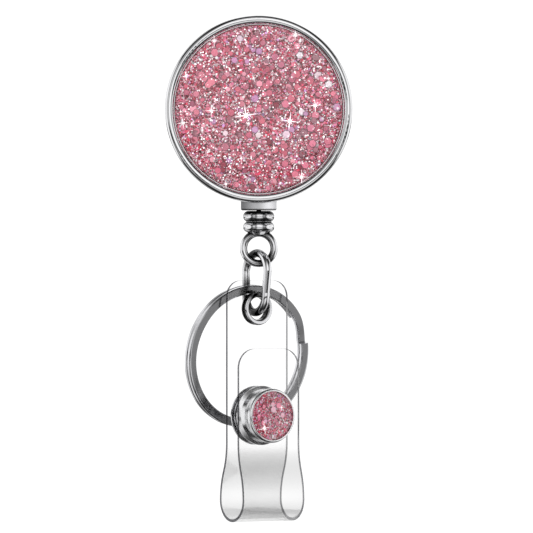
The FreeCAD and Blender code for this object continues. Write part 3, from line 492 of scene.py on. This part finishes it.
reel_axis = Vector((REEL.x, 0, REEL.z))
dome_radius = (DOME_HIGH.x - DOME_LOW.x) / 2
dome = new_piece("resin_dome", lens(reel_axis, FRONT, UP, dome_radius, dome_profile, dome_back),
                 [FINISHES["clear_resin"]], "case", 50)
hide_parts("clear_dome")


# ---------------------------------------------------------------- glitter flakes

def tint(red, green, blue):
    """A display colour, 0 to 255, as the linear colour that shaders take."""
    return tuple((c / 255) ** 2.2 for c in (red, green, blue))


# Colours of the small flakes and of the large sequins, each with its share.
PALETTE = [
    (tint(230, 108, 136), 24), (tint(206, 60, 88), 26), (tint(250, 150, 174), 12),
    (tint(134, 16, 38), 26), (tint(196, 96, 130), 5), (tint(166, 100, 118), 3),
    (tint(204, 146, 214), 4), (tint(255, 246, 252), 22),
]
CHUNKY = [
    (tint(220, 122, 144), 32), (tint(204, 98, 120), 24), (tint(186, 102, 124), 16),
    (tint(158, 104, 116), 10), (tint(198, 142, 186), 6), (tint(244, 162, 180), 10),
    (tint(255, 226, 236), 4), (tint(146, 50, 70), 8),
]
WHITE = (1.0, 0.97, 0.98)


def prism(shape, layer, centre, out, side, corners, thick, colour, shadow_border=0.0):
    """One flat closed flake. Its corners are (across, up) from its centre. Its border is the share of its
    size that slopes down in an edge painted dark, a painted shadow round the flake."""
    up = out.cross(side)
    front = [shape.verts.new(centre + side * a + up * b + out * thick) for a, b in corners]
    back = [shape.verts.new(centre + side * a + up * b) for a, b in corners]
    # With a border, the walls and the border are painted dark: a painted shadow round the flake.
    painted_edge_shadow = tuple(c * 0.22 for c in colour)
    walls = [shape.faces.new(back[::-1])]
    for k in range(len(corners)):
        after = (k + 1) % len(corners)
        walls.append(shape.faces.new((front[k], back[k], back[after], front[after])))
    if shadow_border:
        raised = centre + out * thick * 1.5
        inner = [shape.verts.new(raised + (side * a + up * b) * (1 - shadow_border)) for a, b in corners]
        for k in range(len(corners)):
            after = (k + 1) % len(corners)
            walls.append(shape.faces.new((inner[k], front[k], front[after], inner[after])))
        front = inner
    else:
        painted_edge_shadow = colour
    top = shape.faces.new(front)
    for face, shade in [(top, colour)] + [(wall, painted_edge_shadow) for wall in walls]:
        for loop in face.loops:
            loop[layer] = shade + (1,)


def regular(sides, radius, turn):
    turns = [turn + 2 * math.pi * k / sides for k in range(sides)]
    return [(radius * math.cos(a), radius * math.sin(a)) for a in turns]


STAR_WAIST = 0.11           # shares of the long points' reach
STAR_SHORT = 0.42


def star(radius, turn):
    """Four long points and four short ones."""
    reach = [1.0, STAR_WAIST, STAR_SHORT, STAR_WAIST] * 4
    return [(radius * r * math.cos(turn + math.pi * k / 8), radius * r * math.sin(turn + math.pi * k / 8))
            for k, r in enumerate(reach)]


def pick(rng, palette, gain):
    """A colour drawn by its share, a little brighter or darker than the palette says."""
    colour = rng.choices([c for c, share in palette], [share for c, share in palette])[0]
    bright = rng.uniform(0.9, 1.1) if palette is CHUNKY else rng.uniform(0.15, 1.8)
    return tuple(min(1.0, c * bright * gain * rng.uniform(0.95, 1.05)) for c in colour)


FLAKE_THICK = 0.012 * MM
SEQUIN_SIZE = 0.4 * MM      # larger flakes than this have a border painted dark, a painted shadow
SEQUIN_SHADOW_BORDER = 0.14


def flakes(name, seed, body, centre, out, reach, sizes, material, gain=1.12):
    """Flakes over a disc at centre that faces out. Each row of sizes is (count, smallest and largest
    radius, sides, tilt, palette, lowest and highest place above the disc)."""
    rng = random.Random(seed)
    up = UP - out * UP.dot(out)
    up.normalize()
    side = up.cross(out).normalized()

    def build(shape):
        layer = shape.loops.layers.float_color.new("FLAKE")
        for count, small, large, sides, tilt, palette, low, high in sizes:
            for _ in range(count):
                size = rng.uniform(small, large)
                r = (reach - size * 0.8) * math.sqrt(rng.random())
                a = rng.uniform(0, 2 * math.pi)
                rise = rng.uniform(low, high) * (1 - (r / reach) ** 6 * 0.6)
                tilt_by = rng.gauss(0, tilt)
                tilt_to = rng.uniform(0, 2 * math.pi)
                slope = (side * math.cos(tilt_to) + up * math.sin(tilt_to)) * math.tan(tilt_by)
                face = (out + slope).normalized()
                across = (side - face * side.dot(face)).normalized()
                where = centre + side * (r * math.cos(a)) + up * (r * math.sin(a)) + out * rise
                corners = regular(sides, size, rng.uniform(0, 2 * math.pi))
                # Large sequins get a painted shadow border.
                shadow_border = SEQUIN_SHADOW_BORDER if large > SEQUIN_SIZE else 0.0
                colour = pick(rng, palette, gain)
                prism(shape, layer, where, face, across, corners, FLAKE_THICK, colour, shadow_border)

    return new_piece(name, build, [material], body, 20)


film = flake_material("glitter_film", 0.3)
disc_front = Vector((REEL.x, DISC_FRONT, REEL.z))
flakes("fine_glitter", 11, "case", disc_front, FRONT, 14.2 * MM, [
    (5200, 0.10 * MM, 0.18 * MM, 6, 0.30, PALETTE, 0.02 * MM, 0.16 * MM),
    (1500, 0.17 * MM, 0.28 * MM, 6, 0.24, PALETTE, 0.06 * MM, 0.24 * MM),
], film)
flakes("hex_sequins", 23, "case", disc_front, FRONT, 14.1 * MM, [
    (150, 0.42 * MM, 0.58 * MM, 6, 0.13, CHUNKY, 0.14 * MM, 0.30 * MM),
    (120, 0.60 * MM, 0.82 * MM, 6, 0.10, CHUNKY, 0.16 * MM, 0.34 * MM),
], film)


# White specks that glow: real white glitter with a painted glint.
flakes("glowing_white_specks", 47, "case", disc_front, FRONT, 14.1 * MM, [
    (760, 0.07 * MM, 0.16 * MM, 6, 0.2, [(WHITE, 1)], 0.26 * MM, 0.36 * MM),
], flake_material("speck_glint_glow", 0.1, 0.6))


STAR_THICK = 0.015 * MM


def stars(name, body, centre, out, spots, material, lift=0.42):
    """Glowing white stars near the top of the resin, painted glints that stand in for sparkle. Each spot
    is (across, up, radius, turn), in millimetres and degrees. lift is how far they lie above the disc, in
    millimetres."""
    up = (UP - out * UP.dot(out)).normalized()
    side = up.cross(out).normalized()

    def build(shape):
        layer = shape.loops.layers.float_color.new("FLAKE")
        for x, z, radius, turn in spots:
            where = centre + side * (x * MM) + up * (z * MM) + out * (lift * MM)
            prism(shape, layer, where, out, side, star(radius * MM, math.radians(turn)), STAR_THICK, WHITE)

    return new_piece(name, build, [material], body, 20)


# Painted glints: white stars that glow though they are no lamp.
glint = flake_material("painted_glint_glow", 0.1, 0.9)
stars("painted_star_glints", "case", disc_front, FRONT, [
    (-2.2, -1.1, 2.1, 8), (5.3, -2.1, 1.8, -6), (9.6, 0.6, 1.4, 4), (6.2, 12.6, 1.3, 0),
    (-7.6, 11.6, 1.1, 0), (-12.4, 5.6, 1.0, 10), (-8.1, -0.3, 1.2, 0), (-12.9, -2.4, 1.1, 6),
    (7.3, -11.6, 1.4, 0), (-5.6, -12.8, 0.9, 5), (-0.9, 5.2, 0.8, 20), (-3.0, -8.4, 0.8, 6),
    (11.9, 5.2, 0.8, 10), (1.6, 8.8, 0.8, 0), (2.6, -6.6, 0.8, 12),
], glint)


# ---------------------------------------------------------------- clear strap


STRAP_TOP_PART = -30 * MM   # above this height an end face is a cut edge too
FOLD_REACH = 0.8 * MM       # the halves meet no higher than this above the strap's lowest point
EDGE_BEVEL = 0.1 * MM


def is_wall(face):
    """True for the strap's cut edge: it faces neither out of the sheet nor round the fold."""
    if abs(face.normal.dot(ACROSS)) > 0.05:
        return True
    return face.calc_center_median().z > STRAP_TOP_PART and abs(face.normal.dot(FACING)) < 0.7


strap_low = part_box("strap_back")[0]


def strap():
    """Both halves of the strap as one piece: the faces where they meet at the fold are taken out."""
    shape = bmesh.new()
    for half in ("strap_back", "strap_flap"):
        shape.from_mesh(nodes[half].data)
    inner = [face for face in shape.faces if abs(face.normal.dot(FACING)) > 0.99
             and max(v.co.z for v in face.verts) < strap_low.z + FOLD_REACH]
    bmesh.ops.delete(shape, geom=inner, context="FACES")
    bmesh.ops.remove_doubles(shape, verts=shape.verts, dist=2e-6)
    bmesh.ops.recalc_face_normals(shape, faces=shape.faces)
    walls = [face for face in shape.faces if is_wall(face)]
    for face in walls:
        face.material_index = 1
    marked = set(walls)
    rims = [edge for edge in shape.edges if len(edge.link_faces) == 2
            and (edge.link_faces[0] in marked) != (edge.link_faces[1] in marked)]
    bmesh.ops.bevel(shape, geom=rims, offset=EDGE_BEVEL, segments=2, affect="EDGES", material=1,
                    profile=0.6, clamp_overlap=True)
    mesh = bpy.data.meshes.new("vinyl_strap")
    shape.to_mesh(mesh)
    shape.free()
    piece = bpy.data.objects.new("vinyl_strap", mesh)
    scene.collection.objects.link(piece)
    mesh.materials.append(FINISHES["clear_vinyl"])
    mesh.materials.append(vinyl("vinyl_edge", True))
    height = mesh.attributes.new("LOOP", "FLOAT", "POINT")
    height.data.foreach_set("value", [v.co.z / MM - ROW_RISE for v in mesh.vertices])
    mesh.polygons.foreach_set("use_smooth", [True] * len(mesh.polygons))
    mesh.set_sharp_from_angle(angle=math.radians(30))
    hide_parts("strap_back", "strap_flap")
    return piece


vinyl_strap = strap()
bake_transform(vinyl_strap)


# ---------------------------------------------------------------- snap's glitter

snap_front = snap_middle + FACING * (0.11 * MM)
flakes("snap_glitter", 31, "flap", snap_front, FACING, 4.05 * MM, [
    (760, 0.09 * MM, 0.17 * MM, 6, 0.30, PALETTE, 0.01 * MM, 0.12 * MM),
    (60, 0.17 * MM, 0.26 * MM, 6, 0.22, PALETTE, 0.05 * MM, 0.14 * MM),
    (12, 0.40 * MM, 0.66 * MM, 6, 0.09, CHUNKY, 0.10 * MM, 0.18 * MM),
    (90, 0.06 * MM, 0.14 * MM, 6, 0.2, [(WHITE, 1)], 0.16 * MM, 0.20 * MM),
], flake_material("snap_film", 0.1), 1.5)
# A painted glint on the snap's glitter: glowing white stars.
stars("snap_star", "flap", snap_front, FACING, [(-1.6, -2.1, 1.3, 10), (1.9, 1.4, 0.6, 0)], glint, 0.2)


# ---------------------------------------------------------------- parts that bend or stretch


def welded_copy(name, node, finish):
    """A copy of a CAD node as one welded mesh, in its place."""

    def build(shape):
        shape.from_mesh(nodes[node].data)
        bmesh.ops.remove_doubles(shape, verts=shape.verts, dist=1e-7)

    piece = new_piece(name, build, [FINISHES[finish]], None, 40)
    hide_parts(node)
    return piece


cord_run = welded_copy("cord_run", "cord_lead", "cord")
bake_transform(cord_run)

torsion_spring = welded_copy("torsion_spring", "clip_spring", "spring_steel")
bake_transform(torsion_spring)


# ---------------------------------------------------------------- floor, light and camera

# Mirror reflections see a studio with dark and bright bands; everything else sees plain white.
STUDIO_BRIGHTNESS = 1.12

world = bpy.data.worlds.new("studio")
scene.world = world
world.use_nodes = True
n = Nodes(world.node_tree)
way = n.add("SeparateXYZ", {0: n.add("TexCoord").outputs["Generated"]})
depth = n.math("MULTIPLY", n.math("ADD", way.outputs[1], 1.0), 0.5)
around = n.ramp(depth, [
    (0.00, 0.96), (0.09, 0.94), (0.15, 0.42), (0.22, 0.10), (0.34, 0.03), (0.56, 0.03), (0.64, 0.20),
    (0.71, 0.80), (0.78, 0.95), (1.00, 0.95),
])
sideways = n.ramp(n.math("MULTIPLY", n.math("ADD", way.outputs[0], 1.0), 0.5), [
    (0.00, 0.8), (0.22, 0.9), (0.28, 0.30), (0.36, 0.34), (0.43, 0.96), (0.60, 1.0), (0.70, 0.95),
    (0.75, 0.35), (0.80, 0.40), (0.86, 1.0), (1.00, 1.0),
])
rise = n.ramp(n.math("MULTIPLY", n.math("ADD", way.outputs[2], 1.0), 0.5), [
    (0.00, 0.65), (0.37, 0.80), (0.40, 0.08), (0.445, 0.06), (0.47, 0.80), (0.49, 1.0), (1.00, 1.0),
])
seen = n.mix(1.0, n.mix(1.0, around, sideways, "MULTIPLY"), rise, "MULTIPLY")
card = n.ramp(n.math("ABSOLUTE", way.outputs[0]),
              [(0.0, 0.0), (0.80, 0.0), (0.88, 0.80), (0.98, 0.90), (1.0, 0.6)])
seen = n.mix(1.0, seen, card, "LIGHTEN")
studio = n.add("Background", {"Color": seen, "Strength": STUDIO_BRIGHTNESS})
plain = n.add("Background", {"Color": (1, 1, 1, 1), "Strength": STUDIO_BRIGHTNESS})
choose = n.add("MixShader", {0: n.add("LightPath").outputs["Is Glossy Ray"], 1: plain.outputs[0],
                             2: studio.outputs[0]})
n.add("OutputWorld", {"Surface": choose.outputs[0]})

# The floor lies below the cord's full pull, so that it doesn't hide what hangs there.
FLOOR_RADIUS = 4.0
FLOOR_GAP = 30 * MM
centre = (cad_box[0] + cad_box[1]) / 2
pull = next(joint["range_m"][1] for joint in frame["joints"] if joint["name"] == "cord_pull")
floor_mesh = bpy.data.meshes.new("floor")
shape = bmesh.new()
bmesh.ops.create_circle(shape, cap_ends=True, segments=96, radius=FLOOR_RADIUS)
shape.to_mesh(floor_mesh)
shape.free()
floor = bpy.data.objects.new("floor", floor_mesh)
floor.location = (0, 0, cad_box[0].z - pull - FLOOR_GAP)
scene.collection.objects.link(floor)
floor_material, n = new_material("pale_floor")
grain = n.noise(n.add("TexCoord").outputs["Object"], 900.0, 3.0)
finish_material(n, Base_Color=n.mix(grain, (0.93, 0.93, 0.93), (0.90, 0.90, 0.90)), Roughness=0.7,
                Specular_IOR_Level=0.0)
floor_mesh.materials.append(floor_material)
floor.visible_glossy = False


def softbox(name, where, size, power):
    """A lamp aimed at the object: where is from its centre and size is in metres, power in watts.
    It lights the object without showing in the picture or in the metal."""
    lamp = bpy.data.lights.new(name, "AREA")
    lamp.shape = "RECTANGLE"
    lamp.size, lamp.size_y = size
    lamp.energy = power
    holder = bpy.data.objects.new(name, lamp)
    scene.collection.objects.link(holder)
    holder.location = centre + Vector(where)
    holder.rotation_euler = (centre - holder.location).to_track_quat("-Z", "Y").to_euler()
    holder.visible_camera = False
    holder.visible_glossy = False
    return holder


softbox("key_light", (-0.34, -0.66, 0.22), (0.07, 0.40), 1.3)
softbox("fill_light", (0.30, -0.70, -0.10), (0.06, 0.30), 0.8)
softbox("brow_light", (-0.10, -0.66, 0.40), (0.34, 0.07), 0.9)
softbox("top_light", (0.05, 0.10, 0.75), (0.5, 0.5), 1.2)
softbox("back_light", (-0.30, 0.60, 0.30), (0.10, 0.40), 1.0)

VIEW_WIDTH = 91.2 * MM      # the picture's width at the object
VIEW_X = 1.32 * MM          # the picture's middle
VIEW_Z = -13.85 * MM

camera_data = bpy.data.cameras.new("camera")
camera = bpy.data.objects.new("camera", camera_data)
scene.collection.objects.link(camera)
camera_data.lens = 400
camera_data.sensor_width = 36
away = VIEW_WIDTH * camera_data.lens / camera_data.sensor_width
camera.location = (VIEW_X, cad_box[0].y * 0.5 - away, VIEW_Z)
camera.rotation_euler = (math.radians(90), 0, 0)
camera_data.clip_start = 0.05
camera_data.clip_end = 20
scene.camera = camera
scene.view_settings.view_transform = "Standard"
